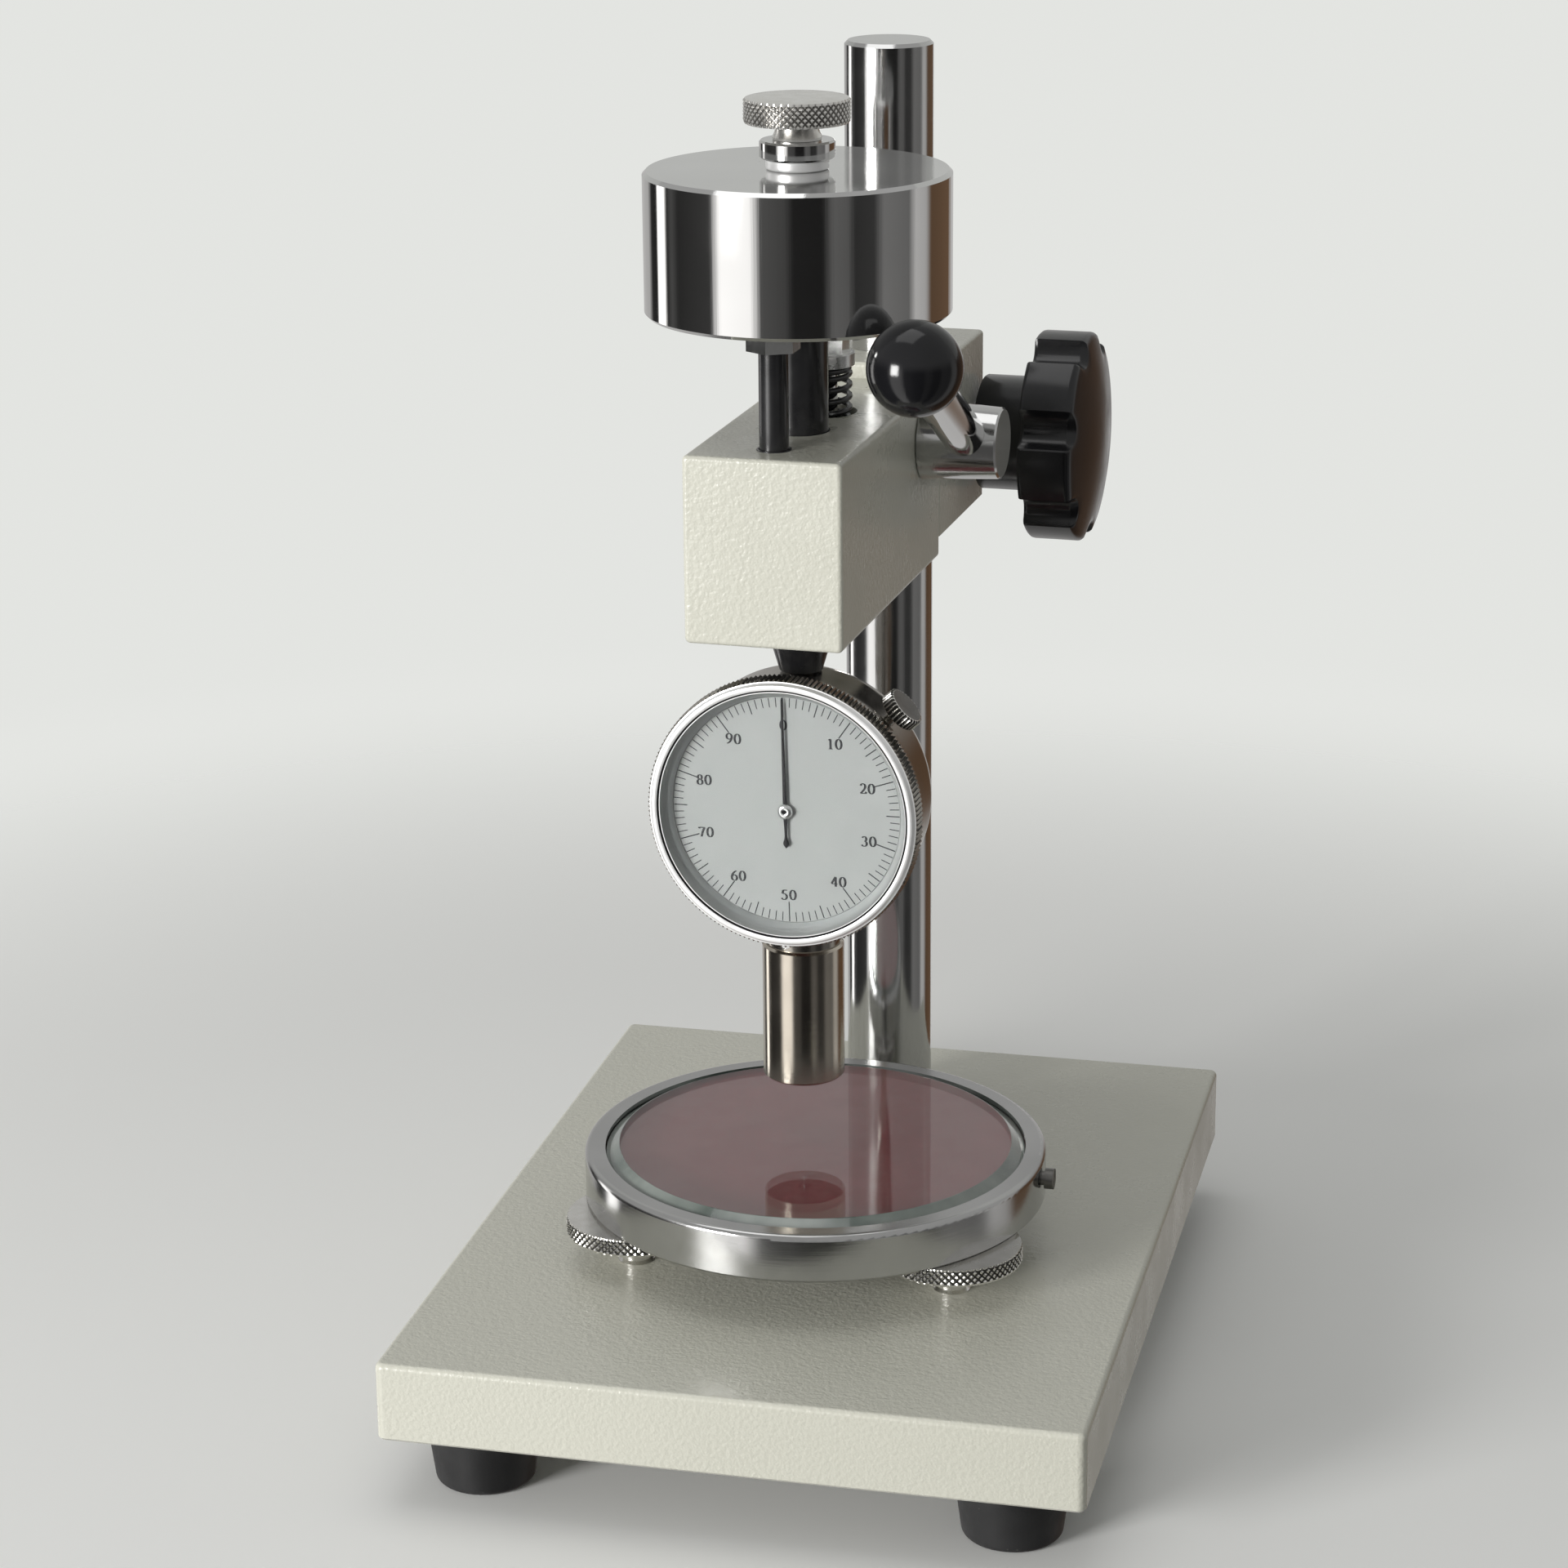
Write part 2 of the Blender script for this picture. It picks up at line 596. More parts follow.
def knurled_band(radius, low, high, pitch, bevel):
    """The rows of a knurled edge from low to high, with a bevel at both ends."""
    start, end = low + bevel, high - bevel
    rows = math.ceil((end - start) / (pitch / KNURL_STEPS))
    band = [(radius, start + (end - start) * row / rows, 1.0) for row in range(rows + 1)]
    return [(radius - bevel, low), *band, (radius - bevel, high)]


def ribbon(strokes, place, low, thick):
    """Flat strokes as faces: each a list of points whose width grows where the stroke runs upright."""
    shapes = []
    for points in strokes:
        sides = []
        for index, point in enumerate(points):
            ahead = points[min(index + 1, len(points) - 1)]
            behind = points[max(index - 1, 0)]
            way = Vector((ahead[0] - behind[0], ahead[1] - behind[1]))
            way.normalize()
            width = (low + (thick - low) * abs(way.y) ** 1.6) / 2
            across = Vector((-way.y, way.x)) * width
            sides.append((Vector(point) + across, Vector(point) - across))
        for (left_a, right_a), (left_b, right_b) in zip(sides, sides[1:]):
            shapes.append([place(corner) for corner in (left_a, right_a, right_b, left_b)])
    return shapes


def flat_mesh(name, shapes, height):
    """Flat faces at one height, from their corners in millimetres."""
    shell = bmesh.new()
    for shape in shapes:
        face = shell.faces.new([shell.verts.new((x, y, height)) for x, y in shape])
        face.normal_update()
        if face.normal.z < 0:
            face.normal_flip()
    return mesh_of(shell, name)


# ---------------------------------------------------------------- numerals of the dial

def bow(x, y, wide, tall, start, end, steps=22):
    """Points along an ellipse between two angles in degrees."""
    angles = [math.radians(start + (end - start) * step / steps) for step in range(steps + 1)]
    return [(x + wide * math.cos(angle), y + tall * math.sin(angle)) for angle in angles]


SIX = [[(0.50, 0.95), (0.38, 0.90), (0.24, 0.77), (0.13, 0.58), (0.08, 0.38), (0.08, 0.29)],
       bow(0.30, 0.29, 0.22, 0.27, 180, 540)]
NUMERALS = {
    "0": [bow(0.30, 0.50, 0.23, 0.46, 90, 450, 36)],
    "1": [[(0.31, 0.03), (0.31, 0.95)], [(0.31, 0.95), (0.13, 0.86)], [(0.14, 0.025), (0.48, 0.025)]],
    "2": [bow(0.29, 0.70, 0.19, 0.26, 165, -35) + [(0.36, 0.38), (0.22, 0.20), (0.07, 0.05)],
          [(0.05, 0.055), (0.50, 0.055)], [(0.06, 0.045), (0.51, 0.045)], [(0.50, 0.04), (0.56, 0.20)]],
    "3": [bow(0.28, 0.73, 0.17, 0.22, 155, -80), bow(0.26, 0.27, 0.22, 0.25, 85, -155)],
    "4": [[(0.39, 0.96), (0.05, 0.31)], [(0.04, 0.29), (0.56, 0.29)], [(0.40, 0.96), (0.40, 0.02)]],
    "5": [[(0.17, 0.92), (0.50, 0.92)], [(0.17, 0.94), (0.52, 0.94)], [(0.18, 0.93), (0.11, 0.58)],
          bow(0.23, 0.30, 0.24, 0.29, 115, -150)],
    "6": SIX,
    "7": [[(0.06, 0.80), (0.09, 0.93)], [(0.08, 0.92), (0.54, 0.92)], [(0.08, 0.90), (0.53, 0.90)],
          [(0.53, 0.93), (0.36, 0.50), (0.24, 0.02)]],
    "8": [bow(0.30, 0.74, 0.165, 0.21, 0, 360, 30), bow(0.30, 0.27, 0.21, 0.245, 0, 360, 30)],
    "9": [[(0.60 - x, 1.0 - y) for x, y in stroke] for stroke in SIX],
}


# ---------------------------------------------------------------- operators, one for each piece or group

class PieceOperator(bpy.types.Operator):
    """What the dressing's operators share."""

    bl_options = {"REGISTER", "UNDO"}

    def execute(self, context):
        self.build(context.scene.tester_sizes)
        return {"FINISHED"}


class TESTER_OT_finishes(PieceOperator):
    """Give every carried-over solid its finish"""

    bl_idname = "tester.finishes"
    bl_label = "Finishes"

    def build(self, sizes):
        own = {
            "column": "column_chrome", "weight": "weight_chrome", "top_spacer": "bezel_rim",
            "needle_arbor": "black_steel", "lever_ball": "ball_black", "table_disc": "table_chrome",
            "rod_nut": "bright_zinc", "spring_seat": "bright_zinc", "table_side_screw": "dull_zinc",
            "lever_ferrule": "bezel_rim", "lever_shaft": "shaft_chrome",
        }
        for row in frame["record"]["subparts"]:
            node = row["node"]
            solid = frame["nodes"][node]
            for holder in solid.material_slots:
                holder.material = finish(own.get(node, row["material_slot"]))


class TESTER_OT_bezel(PieceOperator):
    """Ribbed bezel ring round the dial, with its satin rim"""

    bl_idname = "tester.bezel"
    bl_label = "Bezel"

    def build(self, sizes):
        outline = (
            (26.45, 7.65), (28.9, 7.65), (28.9, 10.9), (29.1, 11.3), (30.1, 11.5, 1.0), (30.1, 15.6, 1.0),
            (29.6, 15.95), (29.35, 16.0), (28.98, 16.42), (28.87, 16.58), (28.7, 16.64), (27.95, 16.64),
            (27.83, 16.58), (27.78, 16.2), (27.45, 16.2), (27.4, 16.35), (27.25, 16.35), (27.15, 16.2),
            (25.35, 12.36), (25.35, 10.65), (26.45, 10.65),
        )
        rim = (0, 0, 0, 0, 0, 0, 1, 1, 1, 1, 1, 1, 2, 2, 1, 1, 3, 3, 0, 0, 0)
        depth = sizes.bezel_rib_depth / MM
        mesh = turned_mesh("bezel_ring", outline, sizes.bezel_ribs * RIB_STEPS,
                           ribbed(sizes.bezel_ribs, depth), rim, (4, depth * 0.5))
        ring = set_down(mesh, DIAL, "case_metal", "case_metal", "bezel_rim", "needle_black", "bezel_bore",
                        "groove_black")
        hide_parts("bezel")
        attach(ring, "bezel")


class TESTER_OT_card(PieceOperator):
    """Silver dial card behind the printed scale"""

    bl_idname = "tester.card"
    bl_label = "Dial card"

    def build(self, sizes):
        outline = (
            (0.9, 10.15), (25.2, 10.15), (25.3, 10.25), (25.3, 12.3), (25.25, DIAL_FACE), (0.9, DIAL_FACE))
        mesh = turned_mesh("dial_card", outline, 180)
        card = set_down(mesh, DIAL, "dial_face", "dial_face")
        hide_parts("dial_plate")
        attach(card, "bezel")


class TESTER_OT_scale(PieceOperator):
    """Printed scale of the dial: a hundred ticks and ten numbers"""

    bl_idname = "tester.scale"
    bl_label = "Dial scale"

    def build(self, sizes):
        shapes = []
        outer, ring, tall, wide = 25.15, 19.1, 2.35, 1.82
        glyph_width, thin, thick = 1.12, 0.075, 0.2
        marks = 100
        for mark in range(marks):
            length, width = (4.45, 0.26) if mark % 10 == 0 else (2.95, 0.24) if mark % 5 == 0 else (2.1, 0.2)
            turn = math.radians(90 - 360 / marks * mark) + sizes.scale_turn
            way = Vector(on_circle(1, turn, 0)[:2])
            across = Vector((-way.y, way.x)) * width / 2
            inner = outer - length
            shapes.append([way * outer + across, way * outer - across, way * inner - across,
                           way * inner + across])
        lean = Matrix.Rotation(sizes.scale_turn, 2)
        for mark in range(0, marks, 10):
            text = str(mark)
            turn = math.radians(90 - 360 / marks * mark)
            middle = Vector(on_circle(ring, turn, 0)[:2])
            for index, sign in enumerate(text):
                left = (index - (len(text) - 1) / 2) * wide - 0.336 * tall

                def onto(corner, middle=middle, left=left):
                    spot = Vector((glyph_width * corner[0] * tall + left, (corner[1] - 0.5) * tall))
                    return lean @ (middle + spot)
                shapes.extend(ribbon(NUMERALS[sign], onto, thin, thick))
        mesh = flat_mesh("dial_scale", shapes, DIAL_FACE + 0.02)
        print_piece = set_down(mesh, DIAL, "needle_black", "print_grey")
        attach(print_piece, "bezel")


class TESTER_OT_needle(PieceOperator):
    """Black needle with its bright hub"""

    bl_idname = "tester.needle"
    bl_label = "Needle"

    def build(self, sizes):
        level, thick = 13.05, 0.22
        tip = sizes.needle_length / MM
        half = ((-8.3, 0.05), (-7.9, 0.34), (-7.4, 0.66), (-6.9, 0.64), (-6.3, 0.36), (-5.5, 0.24),
                (-3.2, 0.34), (-1.4, 0.46), (0.0, 0.47), (1.5, 0.46), (9.0, 0.38), (18.0, 0.28),
                (tip - 0.6, 0.22), (tip, 0.10))
        shell = bmesh.new()
        rows = []
        for along, width in half:
            rows.append([shell.verts.new(spot) for spot in (
                (-width, along, level), (width, along, level), (width, along, level + thick * 0.5),
                (0, along, level + thick), (-width, along, level + thick * 0.5))])
        for row, after in zip(rows, rows[1:]):
            for side in range(5):
                shell.faces.new((row[side], row[(side + 1) % 5], after[(side + 1) % 5], after[side]))
        shell.faces.new(rows[0])
        shell.faces.new(reversed(rows[-1]))
        hub = ((0.62, level - 0.3), (1.15, level - 0.3), (1.55, level - 0.1), (1.7, level + 0.15),
               (1.62, level + 0.42), (1.35, level + 0.66), (0.95, level + 0.78), (0.62, level + 0.74),
               (0.5, level + 0.7))
        columns = 48
        rings = [[shell.verts.new(on_circle(radius, math.tau * step / columns, height))
                  for radius, height in hub] for step in range(columns)]
        for _, _, corners in grid(rings, len(hub), True):
            shell.faces.new(corners).material_index = 1
        mesh = closed_mesh(shell, "gauge_needle")
        place = DIAL @ Matrix.Rotation(sizes.scale_turn, 4, "Z")  # the rest reading is the printed 0
        needle = set_down(mesh, place, "needle_black", "needle_black", "bright_zinc")
        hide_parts("needle")
        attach(needle, "needle")


class TESTER_OT_wheels(PieceOperator):
    """Three diamond-knurled levelling wheels on their screws"""

    bl_idname = "tester.wheels"
    bl_label = "Levelling wheels"

    def build(self, sizes):
        radius, low, high, thread_top = 15.3, 39.45, 43.25, 47.9
        screw_circle = 41.9
        pitch = sizes.wheel_knurl / MM
        count, pressed = diamonds(radius, pitch, sizes.knurl_depth / MM)
        outline = [
            (0, 31.05), (3.3, 31.05), (4.0, 31.7), (4.0, 32.6), (3.4, 33.2), (3.4, 35.4), (4.0, 36.0),
            (4.0, low - 0.5), (4.4, low - 0.1), (13.6, low),
            *knurled_band(radius, low, high, pitch, 0.35), (3.0, high),
        ]
        level = high + 0.25
        while level < thread_top:
            outline.extend(((2.98, level), (2.72, level + 0.25)))
            level += 0.5
        outline.extend(((2.6, 48.3), (0, 48.3)))
        for name, angle in (("front_left", 212.5), ("front_right", 327.5), ("back", 90.0)):
            place = TABLE @ shift(*on_circle(screw_circle, math.radians(angle), 0))
            mesh = turned_mesh(f"wheel_{name}", outline, count * KNURL_STEPS, pressed,
                               groove=(1, sizes.knurl_depth / MM * GROOVE_SHARE))
            wheel = set_down(mesh, place, "knurled_steel", "knurled_steel", "groove_black")
            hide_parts(f"level_screw_{name}")
            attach(wheel, f"level_{name}")


class TESTER_OT_top_screw(PieceOperator):
    """Diamond-knurled head of the top screw with its turned neck"""

    bl_idname = "tester.top_screw"
    bl_label = "Top screw"

    def build(self, sizes):
        top = 284.2 - ARM_UNDER
        low = top - 5.3
        neck = low - 3.5
        radius, pitch = 11.2, sizes.head_knurl / MM
        count, pressed = diamonds(radius, pitch, sizes.knurl_depth / MM)
        outline = [
            (0, neck - 11.1), (2.2, neck - 11.1), (2.5, neck - 10.8), (2.5, neck + 0.05), (5.1, neck + 0.05),
            (5.2, neck + 0.6), (4.7, neck + 1.6), (4.5, neck + 2.6), (4.75, low - 0.25), (5.2, low),
            *knurled_band(radius, low, top - 0.25, pitch, 0.4), (10.2, top - 0.12), (7.5, top - 0.03),
            (3.5, top), (0, top),
        ]
        mesh = turned_mesh("top_knob", outline, count * KNURL_STEPS, pressed,
                           groove=(1, sizes.knurl_depth / MM * GROOVE_SHARE))
        knob = set_down(mesh, SPINDLE, "knurled_steel", "knurled_steel", "groove_dark")
        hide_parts("top_screw")
        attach(knob, "top_screw")


class TESTER_OT_lock_screw(PieceOperator):
    """Coarsely ribbed screw that locks the bezel"""

    bl_idname = "tester.lock_screw"
    bl_label = "Bezel lock screw"

    def build(self, sizes):
        head, top, rib_depth = 30.4, 33.6, 0.5
        outline = (
            (0, 25.2), (1.25, 25.2), (1.25, 29.3), (1.9, 29.6), (2.6, head - 0.1), (3.9, head),
            (4.35, head + 0.15, 0.6), (4.7, head + 0.45, 1.0), (4.7, top - 0.35, 1.0),
            (4.35, top - 0.08, 0.6), (4.0, top), (3.7, top - 0.06), (0.9, top - 0.1), (0, top - 0.1),
        )
        mesh = turned_mesh("lock_knob", outline, sizes.lock_ribs * RIB_STEPS,
                           ribbed(sizes.lock_ribs, rib_depth),
                           (0,) * 10 + (2,) * 4, (1, 0.22))
        knob = set_down(mesh, LOCK, "case_metal", "knurled_steel", "groove_black", "dull_zinc")
        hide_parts("bezel_lock_screw")
        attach(knob, "bezel_lock")


class TESTER_OT_clamp_knob(PieceOperator):
    """Lobed black clamp knob with its domed face"""

    bl_idname = "tester.clamp_knob"
    bl_label = "Clamp knob"

    def build(self, sizes):
        radius, notch, lobes = 24.0, 4.6, sizes.knob_lobes
        away = radius + notch * 0.25
        start = math.radians(75 + 180 / lobes)
        boss, back = 1.65, 14.55
        front, dome, blend_width = back + 12.0, 3.2, 1.1
        columns = lobes * 56

        def edge(turn):
            off = (turn - start + math.pi / lobes) % (math.tau / lobes) - math.pi / lobes
            side = away * math.sin(off)
            if abs(side) >= notch:
                return radius
            dip = away * math.cos(off) - math.sqrt(notch ** 2 - side ** 2)
            blend = max(blend_width - abs(radius - dip), 0.0) / blend_width
            return min(radius, dip) - blend ** 2 * blend_width / 4

        face = ((1.0, 0.16), (0.96, 0.03), (0.9, 0), (0.8, 0), (0.65, 0), (0.5, 0), (0.35, 0), (0.2, 0),
                (0.08, 0), (0.0, 0))
        shell = bmesh.new()
        rings = []
        for step in range(columns):
            turn = math.tau * step / columns
            wide = edge(turn)
            rows = [(4.2, back + 7.7), (4.2, boss), (12.6, boss), (13.0, boss + 0.15), (13.2, boss + 0.5),
                    (13.2, back - 0.9), (13.5, back - 0.35), (14.1, back)]
            rows += [(wide - inset, back + rise) for inset, rise in ((0.9, 0), (0.4, 0.12), (0.1, 0.45),
                                                                     (0, 1.0))]
            rows += [(wide - inset, front - drop) for inset, drop in ((0, 1.3), (0.08, 0.85), (0.3, 0.45))]
            for share, sink in face:
                out = share * (wide - 0.75)
                rows.append((out, front + dome * (1 - (out / radius) ** 2) - sink))
            rings.append([shell.verts.new(on_circle(away_by, turn, height)) for away_by, height in rows])
        for _, _, corners in grid(rings, len(rings[0]) - 1, True):
            shell.faces.new(corners)
        shell.faces.new([ring[0] for ring in rings])
        mesh = closed_mesh(shell, "clamp_star", weld=1e-4)
        knob = set_down(mesh, CLAMP, "black_plastic", "black_plastic")
        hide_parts("star_knob")
        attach(knob, "clamp_knob")


class TESTER_OT_spring(PieceOperator):
    """Black return spring behind the spindle"""

    bl_idname = "tester.spring"
    bl_label = "Return spring"

    def build(self, sizes):
        low, high, radius, wire, stroke = 4.0, 50.4, 5.7, 0.65, 10.9
        around, per_turn, dead = 10, 28, 1.0
        shut_pitch = 2.1 * wire
        turns = sizes.spring_turns
        steps = turns * per_turn
        bottom, top = low + wire, high - wire
        open_pitch = (top - bottom - 2 * dead * shut_pitch) / (turns - 2 * dead)

        def height(turn):
            if turn < dead:
                return bottom + turn * shut_pitch
            if turn > turns - dead:
                return top - (turns - turn) * shut_pitch
            return bottom + dead * shut_pitch + (turn - dead) * open_pitch

        shell = bmesh.new()
        rings = []
        for step in range(steps + 1):
            angle = math.tau * step / per_turn
            middle = Vector(on_circle(radius, angle, height(step / per_turn)))
            out = Vector(on_circle(1, angle, 0))
            rings.append([shell.verts.new(middle + out * wire * math.cos(math.tau * k / around)
                                          + Vector((0, 0, wire * math.sin(math.tau * k / around))))
                          for k in range(around)])
        for _, _, corners in grid(rings, around, False):
            shell.faces.new(corners)
        shell.faces.new(rings[0])
        shell.faces.new(reversed(rings[-1]))
        mesh = closed_mesh(shell, "return_coil")
        coil = set_down(mesh, SPRING, "black_steel", "black_steel")
        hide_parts("return_spring")
        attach(coil, "arm")
        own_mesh(coil)


class TESTER_OT_guide(PieceOperator):
    """Guide the front rod slides in, flush with the arm's top"""

    bl_idname = "tester.guide"
    bl_label = "Rod guide"

    def build(self, sizes):
        top = ARM_TOP
        outline = (
            (3.2, top - 17.9), (5.2, top - 17.9), (5.2, top - 0.2), (5.34, top + 0.015), (3.72, top + 0.03),
            (3.66, top + 0.22), (3.3, top + 0.26), (3.2, top + 0.2),
        )
        mesh = turned_mesh("rod_guide", outline, 72, parts=(1, 1, 1, 0, 1, 1, 1, 1))
        guide = set_down(mesh, GUIDE, "black_steel", "ivory_paint", "black_steel")
        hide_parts("guide_bush")
        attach(guide, "arm")
        sleeve_outline = (
            (6.25, 0.2), (8.5, 0.2), (8.5, top - 0.2), (8.64, top + 0.015), (6.55, top + 0.03),
            (6.45, top + 0.03), (6.25, top - 0.2),
        )
        mesh = turned_mesh("spindle_sleeve", sleeve_outline, 96, parts=(1, 1, 1, 0, 1, 1, 1))
        sleeve = set_down(mesh, SPINDLE, "bronze", "ivory_paint", "black_steel")
        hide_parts("spindle_bushes")
        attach(sleeve, "arm")


class TESTER_OT_backing(PieceOperator):
    """Rose sheet under the specimen glass"""

    bl_idname = "tester.backing"
    bl_label = "Table backing"

    def build(self, sizes):
        outline = ((0, 50.92), (46.3, 50.92), (46.55, 51.05), (46.55, 51.5), (46.35, 51.64), (0, 51.64))
        mesh = turned_mesh("table_liner", outline, 180)
        liner = set_down(mesh, TABLE, "rose_backing", "rose_backing")
        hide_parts("table_backing")
        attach(liner, "stand")


class TESTER_OT_glass(PieceOperator):
    """Specimen glass with its ground bevel"""

    bl_idname = "tester.glass"
    bl_label = "Specimen glass"

    def build(self, sizes):
        outline = (
            (0, 51.73), (46.3, 51.73), (46.45, 51.85), (46.45, 52.95), (46.3, 53.1), (43.6, 54.85),
            (43.45, 54.9), (0, 54.9),
        )
        mesh = turned_mesh("specimen_glass", outline, 240, parts=(0, 1, 1, 1, 1, 1, 0, 0))
        glass = set_down(mesh, TABLE, "table_glass", "table_glass", "ground_glass", sharp=10)
        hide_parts("table_glass")
        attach(glass, "stand")


class TESTER_OT_stage(PieceOperator):
    """Pale floor, soft light, surroundings and the camera"""

    bl_idname = "tester.stage"
    bl_label = "Stage"

    def build(self, sizes):
        self.lay_floor()
        self.light_world()
        self.hang_lamps()
        self.hang_card()
        self.set_camera()
        bpy.context.scene.view_settings.view_transform = "Standard"

    def lay_floor(self):
        """A pale floor that keeps the shadow and fades out round the tester."""
        shell = bmesh.new()
        bmesh.ops.create_circle(shell, cap_ends=True, segments=96, radius=6.0)
        mesh = mesh_of(shell, "floor")
        floor = add_object("floor", mesh)
        material, tree, surface = new_material("Pale floor")
        shader = tree.nodes["Principled BSDF"]
        pale = use_effect(tree, "Mottle", First=(0.95, 0.95, 0.94, 1), Second=(0.93, 0.93, 0.92, 1),
                          Scale=3.0)
        path = add_node(tree, "LightPath")
        albedo = mix_of(tree, path.outputs["Is Diffuse Ray"], pale, (0.30, 0.30, 0.29, 1))
        tree.links.new(albedo, shader.inputs["Base Color"])
        shader.inputs["Roughness"].default_value = 0.6
        away = vector_of(tree, "LENGTH", place_of(tree))
        mirrored = path.outputs["Is Glossy Ray"]
        near = span_of(tree, mirrored, 0.0, 1.0, 0.22, 0.0)
        far = span_of(tree, mirrored, 0.0, 1.0, 0.60, 0.15)
        fade = span_of(tree, away, near, far, kind="SMOOTHSTEP")
        open_air = add_node(tree, "BsdfTransparent")
        both = add_node(tree, "MixShader", {
            0: fade, 1: shader.outputs["BSDF"], 2: open_air.outputs["BSDF"]})
        tree.links.new(both.outputs["Shader"], surface)
        mesh.materials.append(material)

    def light_world(self):
        """Even light all round; shiny pieces mirror the dark and bright bands of a room instead."""
        world = bpy.data.worlds.new("Studio")
        bpy.context.scene.world = world
        world.use_nodes = True
        tree = world.node_tree
        plain = tree.nodes["Background"]
        diffuse_strength = 0.38  # of the strength that the camera sees
        plain.inputs["Color"].default_value = (0.77, 0.78, 0.755, 1)
        path = add_node(tree, "LightPath")
        around = add_node(tree, "TexCoord").outputs["Generated"]
        direction = add_node(tree, "SeparateXYZ", {"Vector": around})
        bearing = math_of(tree, "ARCTAN2", direction.outputs["Y"], direction.outputs["X"])
        turned = math_of(tree, "ADD", bearing, math.radians(90 - VIEW_AZIMUTH))
        wrapped = math_of(tree, "WRAP", turned, math.pi, -math.pi)
        bands = add_node(tree, "ValToRGB", {"Fac": span_of(tree, wrapped, -math.pi, math.pi)})
        ramp = bands.color_ramp
        brown = (116, 150)  # bearings of the brown band, in degrees
        stops = (  # bearing from the camera's own in degrees, brightness
            (-180, 0.55), (-146, 0.50), (-139, 0.03), (-129, 0.02), (-126, 2.4), (-118, 2.2), (-115, 0.02),
            (-108, 0.09), (-100, 0.03), (-68, 0.05), (-60, 1.5), (-36, 1.4), (-28, 0.10), (-10, 0.07),
            (-4, 0.018), (18, 0.016), (26, 0.14), (37, 0.12), (42, 0.035), (58, 0.045), (66, 0.20),
            (90, 0.16), (97, 0.55), (109, 0.48), (116, 0.12), (150, 0.15), (160, 0.55), (180, 0.55),
        )
        while len(ramp.elements) < len(stops):
            ramp.elements.new(0.5)
        for element, (bearing_at, level) in zip(ramp.elements, stops):
            element.position = (bearing_at + 180) / 360
            warm = 0.6 if brown[0] <= bearing_at <= brown[1] else 0.985
            element.color = (level, level * warm, level * warm ** 2, 1)
        rising = span_of(tree, direction.outputs["Z"], -0.05, 0.35, kind="SMOOTHSTEP")
        room = mix_of(tree, rising, bands.outputs["Color"], (0.46, 0.46, 0.455, 1))
        seen = add_node(tree, "Background", {"Color": room, "Strength": 1.0})
        picked = add_node(tree, "MixShader", {
            0: path.outputs["Is Glossy Ray"], 1: plain.outputs["Background"],
            2: seen.outputs["Background"]})
        tree.links.new(picked.outputs["Shader"], tree.nodes["World Output"].inputs["Surface"])
        dimmed = math_of(tree, "MULTIPLY", path.outputs["Is Diffuse Ray"], diffuse_strength - 1)
        tree.links.new(math_of(tree, "ADD", dimmed, 1.0), plain.inputs["Strength"])

    def hang_card(self):
        """A pale card behind the tester that only its shiny pieces mirror."""
        shell = bmesh.new()
        shell.faces.new([shell.verts.new(corner) for corner in (
            (-0.6, 0.42, 0.30), (0.6, 0.42, 0.30), (0.6, 0.42, 0.75), (-0.6, 0.42, 0.75))])
        mesh = mesh_of(shell, "pale_card")
        card = add_object("pale_card", mesh)
        material, tree, surface = new_material("Pale card")
        glow = add_node(tree, "Emission", {"Color": (0.55, 0.555, 0.54, 1), "Strength": 1.0})
        tree.links.new(glow.outputs["Emission"], surface)
        mesh.materials.append(material)
        card.visible_camera = False
        card.visible_diffuse = False
        card.visible_shadow = False
        card.visible_transmission = False

    def hang_lamps(self):
        """A wide window low in front and a faint ceiling light."""
        target = Vector((0, -0.01, 0.15))
        for name, spot, size, watts, colour in (
                ("window", (-0.95, -1.3, 0.34), (0.5, 0.6), 26.5, (1.0, 0.995, 0.98)),
                ("ceiling", (-0.25, 0.1, 1.6), (1.0, 1.0), 3.6, (1.0, 1.0, 1.0))):
            lamp = bpy.data.lights.new(name, "AREA")
            lamp.shape = "RECTANGLE"
            lamp.size, lamp.size_y = size
            lamp.energy = watts
            lamp.color = colour
            holder = add_object(name, lamp)
            holder.location = spot
            holder.rotation_euler = (target - Vector(spot)).to_track_quat("-Z", "Y").to_euler()

    def set_camera(self):
        """The camera, a little to the right of the front and above the bench."""
        azimuth, elevation, roll = (math.radians(angle) for angle in (VIEW_AZIMUTH, 17.85, -0.52))
        back = Vector((math.sin(azimuth) * math.cos(elevation), -math.cos(azimuth) * math.cos(elevation),
                       math.sin(elevation)))
        right = Vector((0, 0, 1)).cross(back).normalized()
        up = back.cross(right)
        across = right * math.cos(roll) + up * math.sin(roll)
        upward = up * math.cos(roll) - right * math.sin(roll)
        camera = add_object("camera", bpy.data.cameras.new("camera"))
        camera.matrix_world = Matrix.Translation((0.18452, -0.80657, 0.39927)) @ Matrix(
            (across, upward, back)).transposed().to_4x4()
        camera.data.sensor_fit = "HORIZONTAL"
        camera.data.sensor_width = 36.0
        camera.data.lens = 90.99
        camera.data.clip_start = 0.01
        camera.data.clip_end = 30.0
        bpy.context.scene.camera = camera


OPERATORS = (
    TESTER_OT_stage, TESTER_OT_finishes, TESTER_OT_bezel, TESTER_OT_card, TESTER_OT_scale,
    TESTER_OT_needle, TESTER_OT_wheels, TESTER_OT_top_screw, TESTER_OT_lock_screw, TESTER_OT_clamp_knob,
    TESTER_OT_spring, TESTER_OT_guide, TESTER_OT_backing, TESTER_OT_glass,
)


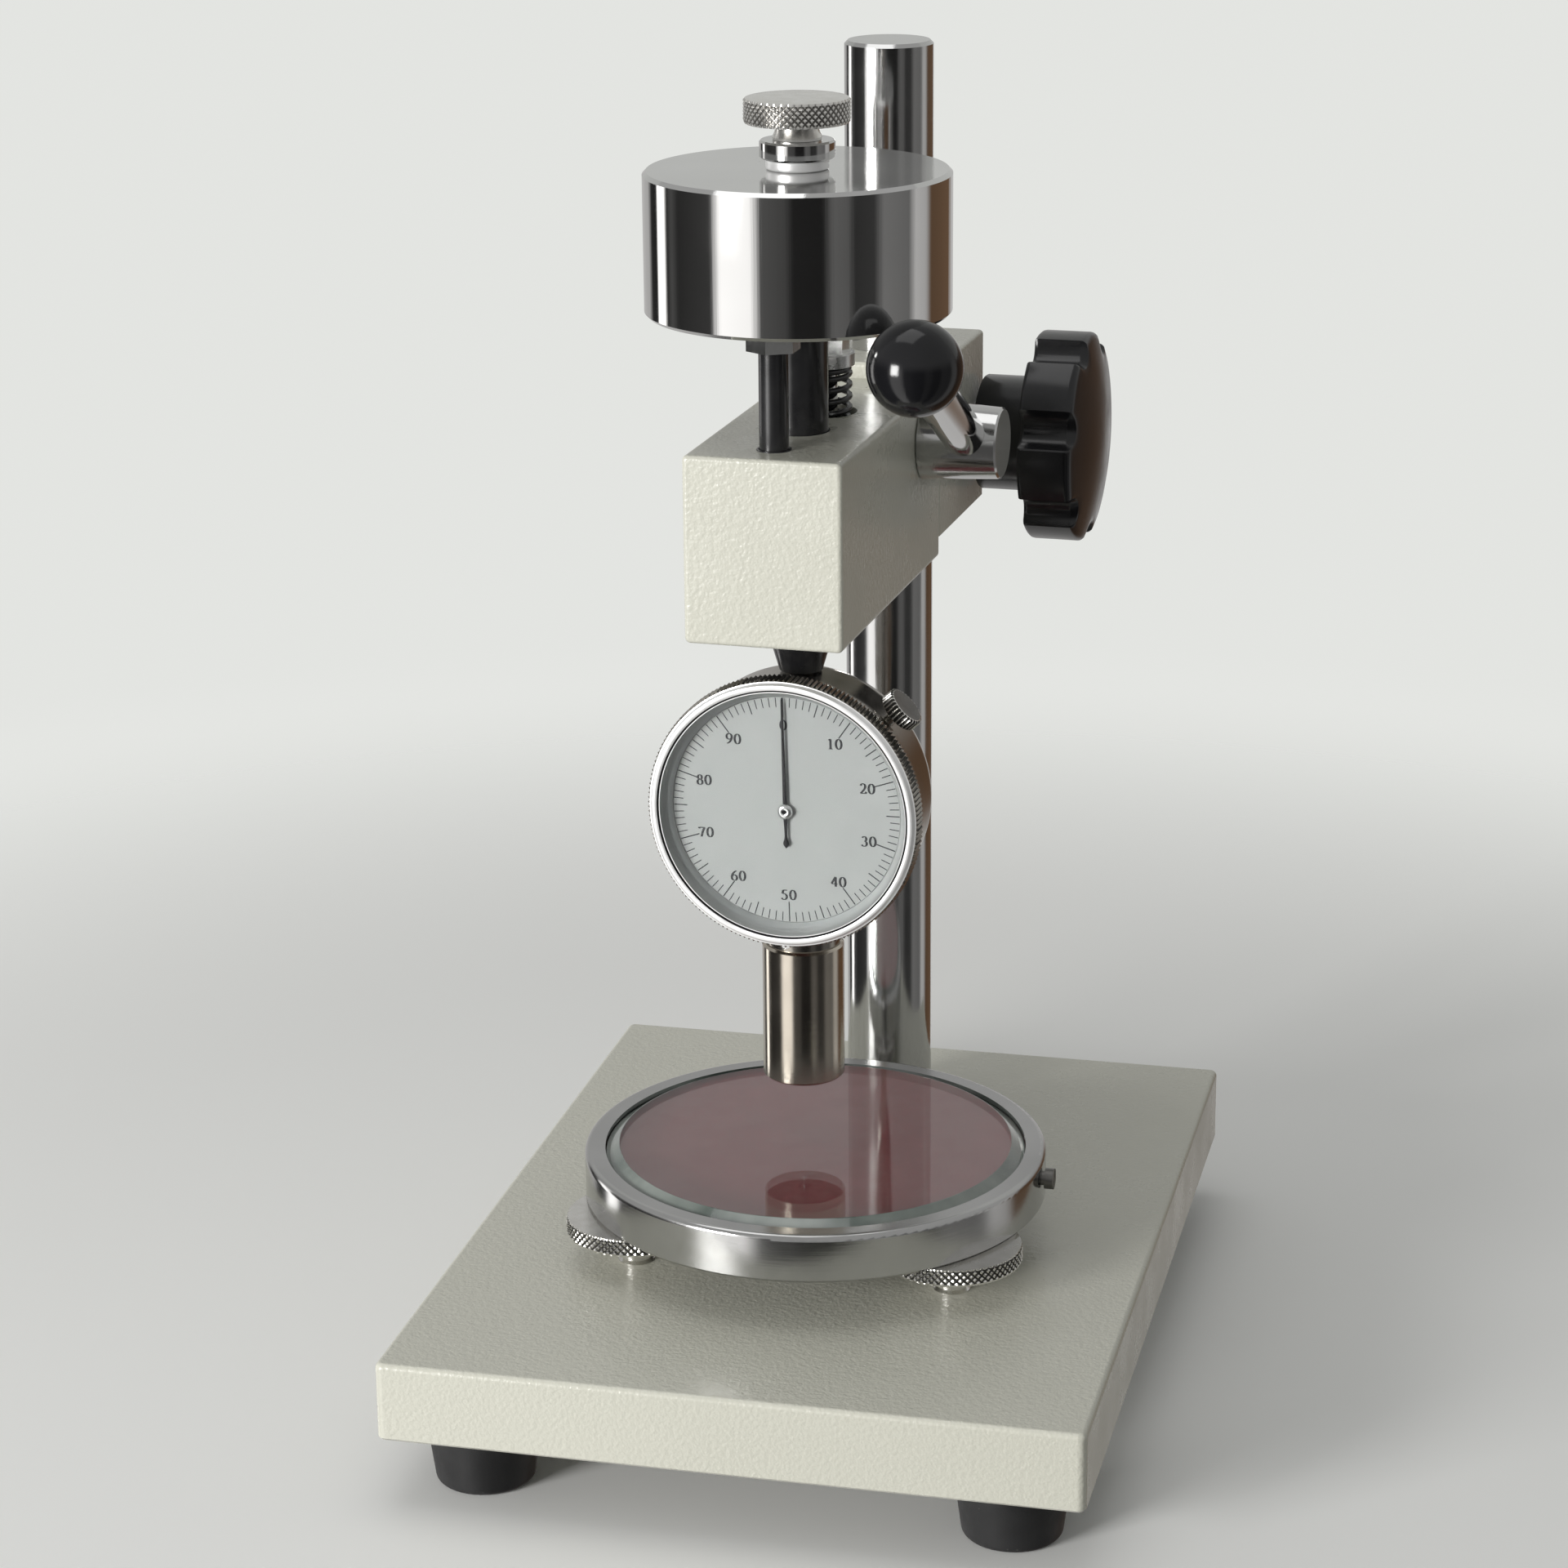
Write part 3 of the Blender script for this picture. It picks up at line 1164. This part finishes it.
class TESTER_PT_dressing(bpy.types.Panel):
    """The dressing's pieces, in the order in which they are made"""

    bl_idname = "TESTER_PT_dressing"
    bl_label = "Hardness tester"
    bl_space_type = "VIEW_3D"
    bl_region_type = "UI"
    bl_category = "Tester"

    def draw(self, context):
        for group in (context.scene.tester_sizes, context.scene.tester_finishes):
            box = self.layout.box()
            for name in group.__annotations__:
                box.prop(group, name)
        for kind in OPERATORS:
            self.layout.operator(kind.bl_idname)


CLASSES = (TesterSizes, TesterFinishes, *OPERATORS, TESTER_PT_dressing)


def register():
    for kind in CLASSES:
        bpy.utils.register_class(kind)
    bpy.types.Scene.tester_sizes = bpy.props.PointerProperty(type=TesterSizes)
    bpy.types.Scene.tester_finishes = bpy.props.PointerProperty(type=TesterFinishes)


def unregister():
    del bpy.types.Scene.tester_finishes
    del bpy.types.Scene.tester_sizes
    for kind in reversed(CLASSES):
        bpy.utils.unregister_class(kind)


def main():
    """Register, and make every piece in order."""
    register()
    for kind in OPERATORS:
        family, name = kind.bl_idname.split(".")
        getattr(getattr(bpy.ops, family), name)()


if __name__ == "__main__":
    main()
